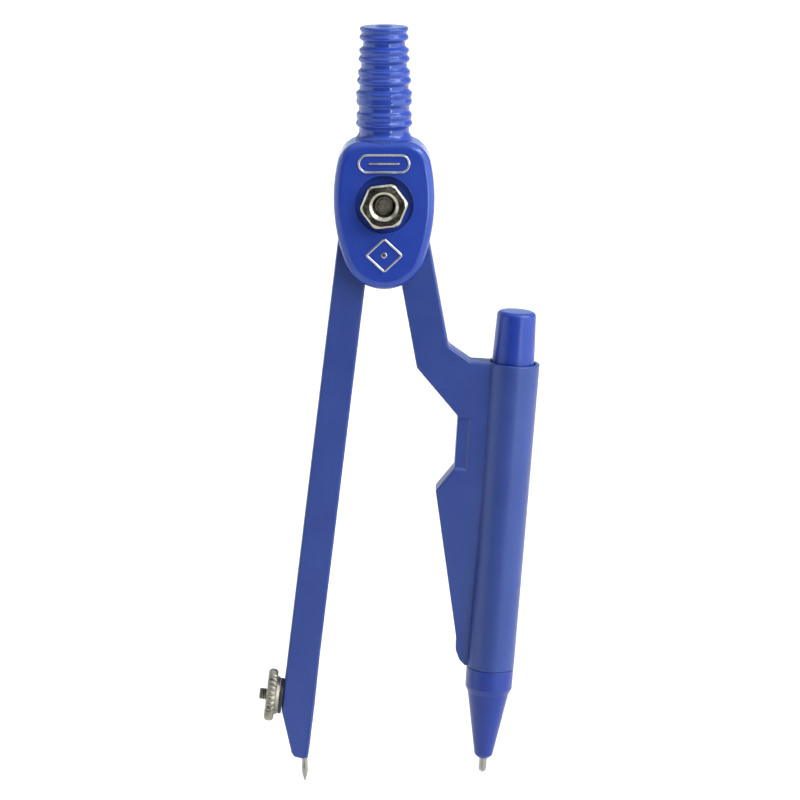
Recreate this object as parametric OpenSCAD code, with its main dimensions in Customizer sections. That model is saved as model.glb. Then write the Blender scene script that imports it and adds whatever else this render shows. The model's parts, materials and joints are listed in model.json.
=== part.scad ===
// Drawing compass with a built-in mechanical pencil.
// Millimetres, +Z up, front towards -Y. The origin is the middle of the ribbed grip.
// Lengths below the head are measured from the pivot, each leg in its own upright frame,
// and each leg frame is then leaned by its rest angle about the pivot.

/* [Pose] */
// Height of the grip's middle above the pivot
grip_mid = 20.5; // [20.5:0.5:24]
// Lean of the needle leg from vertical at rest
needle_lean = 7; // [5:0.5:12]
// Lean of the pencil barrel from vertical at rest
pencil_lean = 3.9; // [3.9:0.1:6]
// How far each leg swings outwards from rest
leg_opening = 45; // [30:1:50]

/* [Head and grip] */
// Half width of the head at its widest
head_half_w = 8.22; // [8:0.01:9]
// Thickness of the head, front to back
head_t = 10; // [9.6:0.2:11]
// Radius of the head's round lower end
head_end_r = 6.8; // [6:0.1:7]
// Distance from the pivot down to the head's lower end
head_drop = 14.1; // [13.8:0.1:14.6]
// Radius of the head's upper corners
head_corner_r = 4.6; // [4.2:0.1:4.8]
// Distance from the pivot up to the head's shoulders
head_rise = 10.3; // [10.2:0.1:10.8]
// Radius of the neck between the head and the ribs
neck_r = 4.1; // [3.8:0.1:4.3]
// Outer radius of the topmost rib
rib_top_r = 3.95; // [3.8:0.05:4.2]
// Outer radius of the lowest rib
rib_low_r = 4.62; // [4.3:0.02:4.8]
// Number of rib pairs
rib_pairs = 5; // [3:1:5]
// Height from one pair of ribs to the next
rib_pitch = 3.5; // [3.4:0.02:3.6]
// Height between the two ribs of a pair
rib_gap = 1.42; // [1.3:0.02:1.5]

/* [Pivot hardware] */
// Radius of the pivot screw's shank, an M4 screw
screw_r = 2; // [1.9:0.05:2]
// Length of the screw under its head
screw_len = 11; // [10.5:0.5:12]
// Width across flats of the pivot nut, M4
nut_flats = 7; // [6.8:0.1:7]
// Thickness of the pivot nut, M4
nut_t = 3.2; // [2.4:0.1:3.2]
// Turn of the nut's corners away from level
nut_turn = 7; // [0:1:29]

/* [Legs] */
// Thickness of both legs, front to back
leg_t = 4.9; // [4.5:0.1:4.9]
// Radius of the round eye at the top of each leg
eye_r = 6.75; // [6.7:0.01:6.8]
// Thickness of the friction washer between the eyes
friction_t = 0.4; // [0.3:0.1:0.6]
// Width of the needle leg
needle_leg_w = 5.33; // [5:0.01:5.33]
// Distance from the pivot's centre line to the needle leg's inner edge
needle_leg_in = 1.42; // [1.3:0.01:1.42]
// Distance from the pivot down to the needle leg's foot
needle_leg_end = 95.4; // [95:0.1:96]
// Distance from the pivot down to the clamp screw's axis
clamp_down = 85.5; // [85:0.1:86]
// Width of the pencil leg's upper arm
arm_w = 5.77; // [5.4:0.01:6]
// Lean of the upper arm away from the pencil barrel
arm_lean = 14.2; // [14:0.1:15]

/* [Needle and its clamp] */
// Radius of the needle where it shows
needle_r = 0.5; // [0.4:0.05:0.5]
// Radius of the needle's shank inside the leg
shank_r = 0.6; // [0.55:0.05:0.65]
// Length of the needle that shows below the foot
needle_show = 4.4; // [3.6:0.1:5]
// Whole length of the needle
needle_len = 24; // [22:0.5:26]
// Radius of the clamp screw's stem, an M2 thread
clamp_r = 1; // [0.9:0.05:1]
// Radius of the thumb nut over its knurls
thumb_r = 4.4; // [4:0.1:4.6]
// Thickness of the thumb nut's knurled rim
thumb_t = 1.6; // [1.5:0.1:1.8]
// Number of knurls round the thumb nut
thumb_knurls = 28; // [20:1:30]

/* [Pencil barrel] */
// Distance from the pivot's centre line to the barrel's axis
barrel_x = 23; // [22.5:0.05:23.5]
// Distance from the pivot down to the barrel's rim
barrel_top = 25.4; // [25:0.1:25.8]
// Distance from the pivot down to the seam above the nose cone
barrel_end = 77.5; // [77:0.1:78]
// Outer radius of the barrel at its rim
barrel_top_r = 4.42; // [4.4:0.02:4.5]
// Outer radius of the barrel at the seam
barrel_end_r = 3.98; // [3.96:0.02:4.1]
// Thickness of the fin's lower end
fin_end_t = 1.8; // [1.4:0.1:2.4]

/* [Pencil mechanism] */
// Radius of the push button at its top
button_top_r = 3.2; // [3:0.05:3.3]
// Height of the push button above the barrel's rim
button_show = 8.65; // [8:0.05:9]
// Travel of the push button
button_travel = 2.5; // [2:0.1:2.5]
// Radius of the lead, a 0.7 mm refill
lead_r = 0.35; // [0.25:0.05:0.35]
// Length of the lead
lead_len = 56; // [30:1:58]
// Length of lead that shows below the tip sleeve
lead_show = 0.2; // [0.2:0.05:1]
// Radius of the metal tip sleeve
sleeve_r = 0.65; // [0.55:0.05:0.65]
// Number of turns of the clutch spring
spring_turns = 9; // [6:1:10]
// Radius of the clutch spring's wire
spring_wire_r = 0.2; // [0.15:0.01:0.22]

/* [Hidden] */
$fn = 64;

// general
eps = 0.01;               // overlap that lets two cuts run into each other
gap = 0.05;               // clearance of a sliding or turning fit
seat = 0.02;              // clearance between faces that turn against each other
blue = [0.13, 0.22, 0.62];
steel = [0.72, 0.72, 0.70];

// head
widest_z = 0.8;           // height of the widest point over the pivot
corner_x = 3.1;           // where the upper corners are centred
end_z = head_end_r - head_drop;
corner_z = head_rise - head_corner_r;
side_low_r = side_radius(head_end_r, 0, widest_z - end_z);
side_high_r = side_radius(head_corner_r, corner_x, corner_z - widest_z);
recess_r = 4.7;           // front and rear recesses round the pivot hardware
recess_deep = 0.9;
slot_t = leg_t + 2 * gap; // gap between the cheeks
slot_r = eye_r + 0.2;     // the slot's round roof
arm_in = 0.36;            // the upper arm's inner edge, from the pivot's centre line
arm_out = arm_in + arm_w;
stop_gap = 0.15;          // what is left between a fully opened leg and its stop
foil_t = 0.25;            // height of the silver outlines
foil_w = 0.42;            // width of the silver outlines

// grip
rib_top_z = 28.1;         // centre of the topmost rib over the pivot
rib_r = 0.5;              // radius of a rib's round crest
rib_depth = 0.34;         // depth of the topmost groove within a pair
groove_depth = 0.6;       // depth of the topmost groove between pairs
depth_fade = 0.03;        // each groove is shallower than the one above it by this
grip_top_z = rib_top_z + 0.35;
nub_r = 1.1;              // moulding nub on top of the grip
neck_top_z = 12.3;

// pivot
hole_gap = 0.1;           // clearance of the pivot screw in its holes
washer_t = 0.8;
screw_head_r = 4;
screw_head_t = 2.4;
friction_r = 5.5;
nut_y = -head_t / 2 + recess_deep;
washer_y = head_t / 2 - recess_deep;

// needle leg
leg_out = needle_leg_in + needle_leg_w;
lap_r = eye_r + 0.25;     // each leg is cut to half thickness inside this radius
taper_start = 87.2;       // distance down to where the foot starts to narrow
foot_w = 2.7;             // width of the foot's end
bolt_head_r = 1.3;
bolt_head_len = 3;
clamp_washer_r = 3;
clamp_washer_t = 0.6;
thumb_hub_r = 3.1;
thumb_hub_t = 0.55;
stem_show = 1.15;         // stem beyond the thumb nut

// the needle stands upright when the leg is at rest
needle_x = -3.07;         // where the needle crosses the clamp axis, in the leg frame
needle_tilt = -needle_lean;

// pencil leg
bore_r = 3.75;            // bore round the push button
neck_bore_r = 2.6;        // bore that clears the lead tube
mech_bore_r = 3.05;       // bore round the mechanism sleeve
mech_top = 50;
crank_low = [14.5, -34.7];
web_start = [16, -barrel_top];
notch_end = [14.55, -43.4];
fin_corner = [11.72, -47.5];
fin_low = [16.95, -72.7];
fin_turn = [17, -74.6];
strip_x = 16.5;           // the thin strip beside the notch ends here
strip_t = 4.3;

// pencil mechanism, as distances down from the pivot
spigot_top = 72.5;
spigot_r = 3;
collar_r = 3.93;
collar_end = 81;
cone_start = 82;
cone_start_r = 3.4;
cone_end = 92.6;
cone_end_r = 1.55;
nose_end = 93.4;
nose_end_r = 0.9;
sleeve_end = 95.75;
sleeve_top = 88.52;
retainer_top = 86;
button_top = barrel_top - button_show;
button_end = 33;
bore_deep = button_end + button_travel + 1.5;
tube_top = button_top + 3.1;
tube_end = 58.5;
tube_collar_top = 54;
tube_r = 1.7;
tube_collar_r = 2.1;
chuck_stem_top = 54.6;
chuck_stem_r = 1;
jaw_top = 73;
jaw_wide = 75.6;
jaw_end = 77.8;
jaw_r = 1.45;
ring_end = 74.6;
flange_t = 2;
spring_r = 1.75;

// Puts the pivot at its place under the grip.
module at_pivot() { translate([0, 0, -grip_mid]) children(); }
// The needle leg's frame, with the leg upright and the pivot at its origin.
module needle_frame() { at_pivot() rotate([0, needle_lean, 0]) children(); }
// The pencil leg's frame, with the barrel upright and the pivot at its origin.
module pencil_frame() { at_pivot() rotate([0, pencil_lean, 0]) children(); }
// The barrel's axis, with heights measured up from the pivot.
module barrel_axis() { pencil_frame() translate([barrel_x, 0, 0]) children(); }
// Turns an axis along Z into one that points to the front.
module to_front() { rotate([90, 0, 0]) children(); }
// The clamp screw's axis, pointing out of the needle leg's side.
module clamp_axis() { needle_frame() translate([0, 0, -clamp_down]) rotate([0, -90, 0]) children(); }
// A flat shape drawn in X and Z, given thickness from y0 to y1.
module plate(y0, y1) { translate([0, y1, 0]) rotate([90, 0, 0]) linear_extrude(y1 - y0) children(); }
// A round bar between two distances down, with a radius at each.
module bar(top, end, r_top, r_end) {
    translate([0, 0, -end]) cylinder(r1 = r_end, r2 = r_top, h = end - top);
}
// A straight round bar between two distances down.
module rod(top, end, r) { bar(top, end, r, r); }

// The radius of a head side that is upright at the widest point and runs smoothly into
// a circle of radius r, whose centre is cx from the middle and dz above or below that point.
function side_radius(r, cx, dz) =
    let (a = cx - head_half_w) (r * r - a * a - dz * dz) / (2 * (a + r));

// Two large circles that meet as a lens, for the head's sides.
module side_lens(r, z_low, z_high) {
    intersection() {
        translate([r - head_half_w, widest_z]) circle(r, $fn = 256);
        translate([head_half_w - r, widest_z]) circle(r, $fn = 256);
        translate([-head_half_w, z_low]) square([2 * head_half_w, z_high - z_low]);
    }
}

// The head's outline: round below, full at the pivot and square-shouldered above.
module head_outline() {
    meet_low = atan2(widest_z - end_z, side_low_r - head_half_w);
    meet_high = atan2(corner_z - widest_z, corner_x + side_high_r - head_half_w);
    side_lens(side_low_r, widest_z - side_low_r * sin(meet_low), widest_z);
    side_lens(side_high_r, widest_z, widest_z + side_high_r * sin(meet_high));
    translate([0, end_z]) circle(head_end_r);
    for (side = [-1, 1]) translate([side * corner_x, corner_z]) circle(head_corner_r);
    translate([-corner_x, 0]) square([2 * corner_x, head_rise]);
}

// A point at a distance along a leg and an offset outwards, when the leg leans by an angle.
function swung(offset, dist, angle) =
    [offset * cos(angle) + dist * sin(angle), offset * sin(angle) - dist * cos(angle)];

// One side of the slot: all that a leg sweeps, up to its stop.
module sweep_side(side, offset, angle) {
    far = 30;
    root = swung(offset + stop_gap, 0, angle);
    tip = swung(offset + stop_gap, far, angle);
    polygon([[0, 0], [side * root[0], root[1]], [side * tip[0], tip[1]], [side * far, -far], [0, -far]]);
}

// The slot that both legs move in.
module slot_outline() {
    circle(slot_r);
    sweep_side(-1, leg_out, needle_lean + leg_opening);
    sweep_side(1, arm_out, arm_lean - pencil_lean + leg_opening);
}

// Half of the grip's section: a core and round ribs in pairs.
module grip_section() {
    count = 2 * rib_pairs;
    for (i = [0 : count - 1]) {
        z = rib_top_z - floor(i / 2) * rib_pitch - (i % 2) * rib_gap;
        r = rib_top_r + (rib_low_r - rib_top_r) * sin(90 * i / (count - 1));
        translate([r - rib_r, z]) circle(rib_r);
        below = (i % 2 == 0) ? rib_gap : rib_pitch - rib_gap;
        depth = ((i % 2 == 0) ? rib_depth : groove_depth) - depth_fade * i;
        translate([0, z - below]) square([r - depth, below + (i == 0 ? grip_top_z - z : 0)]);
    }
    square([neck_r, neck_top_z]);
    flare = 0.9;
    polygon([[0, head_rise - 0.6], [neck_r + flare, head_rise - 0.6], [neck_r, head_rise + flare],
             [0, head_rise + flare]]);
    translate([0, grip_top_z - eps]) square([nub_r, 0.2]);
}

module handle_yoke() {
    color(blue) at_pivot() difference() {
        union() {
            plate(-head_t / 2, head_t / 2) head_outline();
            rotate_extrude() grip_section();
        }
        plate(-slot_t / 2, slot_t / 2) slot_outline();
        to_front() translate([0, 0, -head_t]) cylinder(r = screw_r + hole_gap, h = 2 * head_t);
        to_front() translate([0, 0, head_t / 2 - recess_deep]) cylinder(r = recess_r, h = head_t);
        to_front() translate([0, 0, -1.5 * head_t + recess_deep]) cylinder(r = recess_r, h = head_t);
    }
}

// A flat ring of the foil's width round any shape made of one scaled child.
module pill_outline(w, h) {
    difference() {
        pill(w, h);
        pill(w - 2 * foil_w, h - 2 * foil_w);
    }
}
module pill(w, h) {
    square([w - h, h], center = true);
    for (side = [-1, 1]) translate([side * (w - h) / 2, 0]) circle(h / 2);
}
module diamond(w, h) { polygon([[-w / 2, 0], [0, -h / 2], [w / 2, 0], [0, h / 2]]); }

// Plain silver outlines on the front cheek: a pill over the nut, a diamond below it.
module foil_emblems() {
    color(steel) at_pivot() plate(-head_t / 2 - foil_t, -head_t / 2) {
        translate([0, 6.7]) {
            pill_outline(8.6, 3.2);
            pill(5, foil_w);
        }
        translate([0, -8.3]) {
            difference() {
                diamond(6.4, 6);
                diamond(6.4 - 3.1 * foil_w, 6 - 2.9 * foil_w);
            }
            circle(0.55);
        }
    }
}

module pivot_screw() {
    head_y = washer_y + washer_t;
    color(steel) at_pivot() to_front() translate([0, 0, -head_y]) difference() {
        union() {
            rotate_extrude() polygon([[0, 0], [screw_r, 0], [screw_r, screw_len - 0.5],
                                      [screw_r - 0.5, screw_len], [0, screw_len]]);
            translate([0, 0, -screw_head_t]) rotate_extrude()
                polygon([[0, 0], [screw_head_r - 0.9, 0], [screw_head_r - 0.2, 0.7],
                         [screw_head_r, 1.3], [screw_head_r, screw_head_t], [0, screw_head_t]]);
        }
        translate([-screw_head_r - 1, -0.6, -screw_head_t - 1]) cube([2 * screw_head_r + 2, 1.2, 2.2]);
    }
}

module pivot_nut() {
    corner_r = nut_flats / 2 / cos(30);
    bevel = 0.45;
    color(steel) at_pivot() to_front() translate([0, 0, -nut_y]) rotate([0, 0, nut_turn]) difference() {
        intersection() {
            cylinder(r = corner_r, h = nut_t, $fn = 6);
            rotate_extrude() polygon([[0, 0], [nut_flats / 2, 0], [corner_r, bevel],
                                      [corner_r, nut_t - bevel], [nut_flats / 2, nut_t], [0, nut_t]]);
        }
        translate([0, 0, -1]) cylinder(r = screw_r + gap, h = nut_t + 2);
        translate([0, 0, nut_t - 0.5]) cylinder(r1 = screw_r, r2 = screw_r + 0.6, h = 0.6);
    }
}

module pivot_washer() {
    color(steel) at_pivot() to_front() translate([0, 0, -washer_y - washer_t]) difference() {
        cylinder(r = recess_r - 0.2, h = washer_t);
        translate([0, 0, -1]) cylinder(r = screw_r + 0.15, h = washer_t + 2);
    }
}

module friction_washer() {
    color([0.1, 0.1, 0.11]) at_pivot() to_front() translate([0, 0, -friction_t / 2]) difference() {
        cylinder(r = friction_r, h = friction_t);
        translate([0, 0, -1]) cylinder(r = screw_r + hole_gap, h = friction_t + 2);
    }
}

// The needle leg's outline in its own frame.
module needle_leg_outline() {
    circle(eye_r);
    foot_in = needle_leg_in - 0.15;
    polygon([[-leg_out, 0], [-leg_out, -taper_start], [-needle_leg_in - foot_w, 0.8 - needle_leg_end],
             [-needle_leg_in - foot_w + 0.5, 0.2 - needle_leg_end], [-needle_leg_in - 0.7, -needle_leg_end],
             [-foot_in - 0.13, 0.3 - needle_leg_end], [-foot_in, 1 - needle_leg_end], [-foot_in, -86],
             [-needle_leg_in, -76], [-needle_leg_in, 0]]);
}

module needle_leg() {
    color(blue) difference() {
        needle_frame() difference() {
            plate(-leg_t / 2, leg_t / 2) needle_leg_outline();
            plate(-friction_t / 2 - seat, leg_t) circle(lap_r);
            to_front() translate([0, 0, -leg_t]) cylinder(r = screw_r + hole_gap, h = 2 * leg_t);
        }
        needle_bore(shank_r + gap, needle_len + 3);
        clamp_axis() translate([0, 0, -leg_t]) cylinder(r = clamp_r + gap, h = 4 * leg_t);
        clamp_axis() cylinder(r = bolt_head_r + gap, h = needle_leg_in + bolt_head_len + gap);
    }
}

// The needle's own axis. It starts at the tip and points up.
module needle_axis() {
    needle_frame() translate([needle_x, 0, -clamp_down]) rotate([0, needle_tilt, 0])
        translate([0, 0, -(needle_leg_end - clamp_down) / cos(needle_tilt) - needle_show]) children();
}
// A bore round the needle, from below its tip to a height over the tip.
module needle_bore(r, h) { needle_axis() translate([0, 0, -1]) cylinder(r = r, h = h + 1); }

module needle() {
    point = 1.9;
    shoulder = needle_show - 0.1;
    slope = 0.6;
    color(steel) needle_axis() rotate_extrude()
        polygon([[0, 0], [0.08, 0], [needle_r, point], [needle_r, shoulder - slope], [shank_r, shoulder],
                 [shank_r, needle_len - 0.3], [shank_r - 0.2, needle_len], [0, needle_len]]);
}

module needle_clamp_bolt() {
    stem = leg_out + clamp_washer_t + thumb_hub_t + thumb_t + stem_show + 2 * seat;
    color(steel) difference() {
        clamp_axis() {
            translate([0, 0, needle_leg_in - 0.1]) cylinder(r = bolt_head_r, h = bolt_head_len);
            cut = 0.3;
            rotate_extrude() polygon([[0, needle_leg_in], [clamp_r, needle_leg_in], [clamp_r, stem - cut],
                                      [clamp_r - cut, stem], [0, stem]]);
        }
        needle_bore(shank_r + gap, needle_len + 3);
    }
}

module needle_clamp_washer() {
    color([0.06, 0.06, 0.07]) clamp_axis() translate([0, 0, leg_out]) difference() {
        cylinder(r = clamp_washer_r, h = clamp_washer_t);
        translate([0, 0, -1]) cylinder(r = clamp_r + gap, h = clamp_washer_t + 2);
    }
}

// The thumb nut: a plain hub towards the leg and a coarsely knurled rim.
module needle_clamp_nut() {
    knurl_r = 0.4;
    rim = thumb_r - knurl_r;
    color(steel) clamp_axis() translate([0, 0, leg_out + clamp_washer_t + seat]) difference() {
        union() {
            cylinder(r = thumb_hub_r, h = thumb_hub_t);
            translate([0, 0, thumb_hub_t]) linear_extrude(thumb_t) {
                circle(rim);
                for (i = [0 : thumb_knurls - 1])
                    rotate(i * 360 / thumb_knurls) translate([rim, 0]) circle(knurl_r);
            }
        }
        translate([0, 0, -1]) cylinder(r = clamp_r + seat, h = 6);
    }
}

// The pencil leg's plate in its own frame: arm, crank, web and fin.
module pencil_plate_outline() {
    circle(eye_r);
    polygon([[0, 0], swung(arm_out, 0, arm_lean), swung(arm_out, 25.4, arm_lean), web_start,
             [barrel_x, -barrel_top], [barrel_x, -barrel_end], [18.6, -barrel_end], fin_turn, fin_low,
             fin_corner, notch_end, crank_low, swung(arm_in, 28, arm_lean)]);
}

// Keeps the plate at full thickness down to the fin, which thins towards its lower end.
module fin_wedge() {
    top = 10;
    start = -46;
    translate([-10, 0, 0]) rotate([90, 0, 90]) linear_extrude(50)
        polygon([[-leg_t / 2, top], [leg_t / 2, top], [leg_t / 2, start], [fin_end_t / 2, -barrel_end],
                 [-fin_end_t / 2, -barrel_end], [-leg_t / 2, start]]);
}

// The shallow recess beside the notch, on one face.
module strip_recess(side) {
    deep = (leg_t - strip_t) / 2;
    far = 5;
    y0 = side > 0 ? strip_t / 2 : -strip_t / 2 - far;
    low = notch_end[1] - deep;
    plate(y0, y0 + far) polygon([[10, -34.9], [strip_x, -34.9], [strip_x, low], [10, low]]);
}

module pencil_leg() {
    color(blue) pencil_frame() difference() {
        union() {
            difference() {
                intersection() {
                    plate(-leg_t / 2, leg_t / 2) pencil_plate_outline();
                    fin_wedge();
                }
                for (side = [-1, 1]) strip_recess(side);
            }
            translate([barrel_x, 0, 0]) bar(barrel_top, barrel_end, barrel_top_r, barrel_end_r);
        }
        plate(-leg_t, friction_t / 2 + seat) circle(lap_r);
        to_front() translate([0, 0, -leg_t]) cylinder(r = screw_r + hole_gap, h = 2 * leg_t);
        translate([barrel_x, 0, 0]) {
            rod(barrel_top - 1, bore_deep, bore_r);
            rod(bore_deep - eps, mech_top + eps, neck_bore_r);
            rod(mech_top, barrel_end + 1, mech_bore_r);
        }
    }
}

module push_button() {
    edge = 0.5;
    guide = 2;
    color(blue) barrel_axis() difference() {
        union() {
            rod(button_top, button_top + edge, button_top_r - edge);
            bar(button_top, button_top + edge, button_top_r - edge, button_top_r);
            bar(button_top + edge, barrel_top, button_top_r, bore_r - 0.25);
            rod(barrel_top - eps, button_end, bore_r - 0.25);
            rod(button_end - guide, button_end, bore_r - gap);
        }
        rod(tube_top - seat, button_end + 1, tube_r + gap);
        difference() {
            rod(button_top + 2.2, button_end + 1, bore_r - 1);
            rod(button_top + 2, button_end + 2, tube_r + 0.6);
        }
    }
}

module lead_tube() {
    color([0.85, 0.87, 0.88]) barrel_axis() difference() {
        union() {
            rod(tube_top, tube_end, tube_r);
            rod(tube_collar_top, tube_end, tube_collar_r);
        }
        rod(tube_top - 1, tube_end + 1, chuck_stem_r + gap);
    }
}

module chuck() {
    slit = 0.25;
    color([0.78, 0.62, 0.28]) barrel_axis() difference() {
        union() {
            rod(chuck_stem_top, jaw_top, chuck_stem_r);
            bar(jaw_top - eps, jaw_wide, chuck_stem_r, jaw_r);
            rod(jaw_wide - eps, jaw_end - 0.5, jaw_r);
            bar(jaw_end - 0.5 - eps, jaw_end, jaw_r, jaw_r - 0.5);
        }
        rod(chuck_stem_top - 1, jaw_end + 1, lead_r + seat);
        for (i = [0 : 2]) rotate([0, 0, i * 120]) translate([0, -slit / 2, -jaw_end - 1]) cube([5, slit, 8]);
    }
}

// Wire that climbs round a coil, with a point for each step and a ring of corners at each point.
module clutch_spring() {
    sides = 6;
    steps = 20;
    low = -spigot_top + flange_t + spring_wire_r;
    high = -tube_end - spring_wire_r;
    last = spring_turns * steps;
    function corner(i, j) =
        let (turn = 360 * i / steps, ring = 360 * j / sides, reach = spring_r + spring_wire_r * cos(ring))
        [reach * cos(turn), reach * sin(turn), low + (high - low) * i / last + spring_wire_r * sin(ring)];
    points = [for (i = [0 : last]) for (j = [0 : sides - 1]) corner(i, j)];
    skin = [for (i = [0 : last - 1]) for (j = [0 : sides - 1])
        [i * sides + j, (i + 1) * sides + j, (i + 1) * sides + (j + 1) % sides, i * sides + (j + 1) % sides]];
    ends = [[for (j = [0 : sides - 1]) j], [for (j = [sides - 1 : -1 : 0]) last * sides + j]];
    color(steel) barrel_axis() polyhedron(points, concat(skin, ends));
}

// Holds the spring's fixed end and seats the clutch ring under its flange.
module mechanism_sleeve() {
    color([0.9, 0.9, 0.88]) barrel_axis() difference() {
        rod(mech_top + gap, spigot_top, mech_bore_r - gap);
        rod(mech_top - 1, spigot_top - flange_t, tube_collar_r + 0.2);
        rod(mech_top, spigot_top + 1, chuck_stem_r + 0.2);
    }
}

module clutch_ring() {
    color([0.78, 0.62, 0.28]) barrel_axis() difference() {
        rod(spigot_top + gap, ring_end, 1.95);
        bar(spigot_top - 1, ring_end + 0.01, chuck_stem_r + 0.06, jaw_r + 0.02);
    }
}

module nose_cone() {
    cavity_r = 2.35;
    color(blue) barrel_axis() difference() {
        union() {
            rod(spigot_top + seat, barrel_end + 1, spigot_r);
            rod(barrel_end + gap, collar_end, collar_r);
            bar(collar_end - eps, cone_start, collar_r, cone_start_r);
            bar(cone_start - eps, cone_end, cone_start_r, cone_end_r);
            bar(cone_end - eps, nose_end, cone_end_r, nose_end_r);
        }
        rod(spigot_top - 1, cone_start, cavity_r);
        bar(cone_start - eps, retainer_top - 1.5, cavity_r, 1.3);
        rod(retainer_top - 1.5 - eps, sleeve_top - seat, 1.3);
        rod(sleeve_top - 1, nose_end + 1, sleeve_r + eps);
    }
}

module tip_sleeve() {
    edge = 0.12;
    color(steel) barrel_axis() difference() {
        union() {
            rod(sleeve_top, sleeve_end - edge, sleeve_r);
            bar(sleeve_end - edge - eps, sleeve_end, sleeve_r, sleeve_r - edge);
        }
        rod(sleeve_top - 1, sleeve_end + 1, lead_r + seat);
    }
}

module lead_retainer() {
    color([0.1, 0.1, 0.1]) barrel_axis() difference() {
        rod(retainer_top, sleeve_top - 2 * seat, 1.28);
        rod(retainer_top - 1, sleeve_top + 1, lead_r + seat);
    }
}

module lead() {
    worn = 0.6;
    lead_end = sleeve_end + lead_show;
    color([0.16, 0.16, 0.18]) barrel_axis() {
        rod(lead_end - lead_len, lead_end - worn, lead_r);
        bar(lead_end - worn - eps, lead_end, lead_r, 0.12);
    }
}

handle_yoke();
foil_emblems();
pivot_screw();
pivot_nut();
pivot_washer();
friction_washer();
needle_leg();
needle();
needle_clamp_bolt();
needle_clamp_washer();
needle_clamp_nut();
pencil_leg();
push_button();
lead_tube();
chuck();
clutch_spring();
mechanism_sleeve();
clutch_ring();
nose_cone();
tip_sleeve();
lead_retainer();
lead();
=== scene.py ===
"""Looks of the drawing compass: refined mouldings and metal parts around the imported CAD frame.

Shapes are drawn in millimetres in the frame of the part that they belong to: the pivot's, the
needle leg's or the pencil leg's. Each frame's matrix then puts them in place, in metres.
"""
import json
import math

import bmesh
import bpy
from mathutils import Matrix, Vector


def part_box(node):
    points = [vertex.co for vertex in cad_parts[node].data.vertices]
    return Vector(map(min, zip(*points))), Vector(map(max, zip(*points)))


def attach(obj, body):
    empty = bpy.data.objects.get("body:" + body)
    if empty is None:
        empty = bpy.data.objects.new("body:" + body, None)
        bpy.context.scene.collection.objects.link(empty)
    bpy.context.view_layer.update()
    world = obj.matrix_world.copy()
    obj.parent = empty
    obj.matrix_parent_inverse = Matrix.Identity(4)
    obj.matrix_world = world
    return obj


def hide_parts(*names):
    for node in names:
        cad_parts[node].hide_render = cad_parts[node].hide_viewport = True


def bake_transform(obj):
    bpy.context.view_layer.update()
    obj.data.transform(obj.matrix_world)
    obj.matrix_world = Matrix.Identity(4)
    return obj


MM = 0.001  # metres in a millimetre
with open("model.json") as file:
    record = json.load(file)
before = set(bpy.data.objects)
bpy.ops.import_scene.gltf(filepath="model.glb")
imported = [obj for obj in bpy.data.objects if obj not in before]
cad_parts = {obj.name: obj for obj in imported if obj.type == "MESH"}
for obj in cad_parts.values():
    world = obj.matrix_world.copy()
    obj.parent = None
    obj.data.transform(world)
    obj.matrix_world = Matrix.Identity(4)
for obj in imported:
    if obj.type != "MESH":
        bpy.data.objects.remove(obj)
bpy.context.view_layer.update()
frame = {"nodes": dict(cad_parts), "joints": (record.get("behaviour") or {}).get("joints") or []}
joints = {j["name"]: j for j in frame["joints"]}

# ---------------------------------------------------------------- frames from the CAD model

PIVOT = Vector(joints["needle_leg_pivot"]["pos_m"])
barrel_down = Vector(joints["nose_cone_turn"]["axis"])
clamp_out = Vector(joints["thumb_nut_turn"]["axis"])
PENCIL_LEAN = math.atan2(-barrel_down.x, -barrel_down.z)
NEEDLE_LEAN = math.atan2(clamp_out.z, -clamp_out.x)


def leaning(lean):
    """A frame at the pivot, in millimetres, leaned about Y."""
    return Matrix.Translation(PIVOT) @ Matrix.Rotation(lean, 4, "Y") @ Matrix.Scale(MM, 4)


HEAD = leaning(0.0)
NEEDLE_LEG = leaning(NEEDLE_LEAN)
PENCIL_LEG = leaning(PENCIL_LEAN)
TO_FRONT = Matrix.Rotation(math.pi / 2, 4, "X")  # a lathe's Z towards the front, -Y
TO_SIDE = Matrix.Rotation(-math.pi / 2, 4, "Y")  # a lathe's Z out of the needle leg, -X


def local(matrix, point):
    """A point of the row frame in one of the millimetre frames."""
    return matrix.inverted() @ Vector(point)


# The barrel's axis in the pencil leg's frame, the clamp's in the needle leg's, the needle's upright one.
BARREL_X = local(PENCIL_LEG, joints["nose_cone_turn"]["pos_m"]).x
CLAMP_Z = local(NEEDLE_LEG, joints["thumb_nut_turn"]["pos_m"]).z
NEEDLE_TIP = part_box("needle")[0].z
NEEDLE_X = sum(v.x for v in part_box("needle")) / 2

# ---------------------------------------------------------------- outlines

NEARLY_STRAIGHT = math.radians(88.5)  # half a corner's angle: a flatter corner isn't rounded
MOST_OF_A_SIDE = 0.49  # how much of a side a rounded corner may take
LEAST_MITER = 0.5  # keeps an inset corner from shooting out


def arc(centre, radius, start, end, steps):
    """Points on an arc, from one angle to another in degrees."""
    turn = [math.radians(start + (end - start) * i / steps) for i in range(steps + 1)]
    return [(centre[0] + radius * math.cos(a), centre[1] + radius * math.sin(a)) for a in turn]


def swung(offset, dist, degrees):
    """A point at a distance along a leg and an offset outwards, for a leg that leans by an angle."""
    c, s = math.cos(math.radians(degrees)), math.sin(math.radians(degrees))
    return (offset * c + dist * s, offset * s - dist * c)


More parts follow.
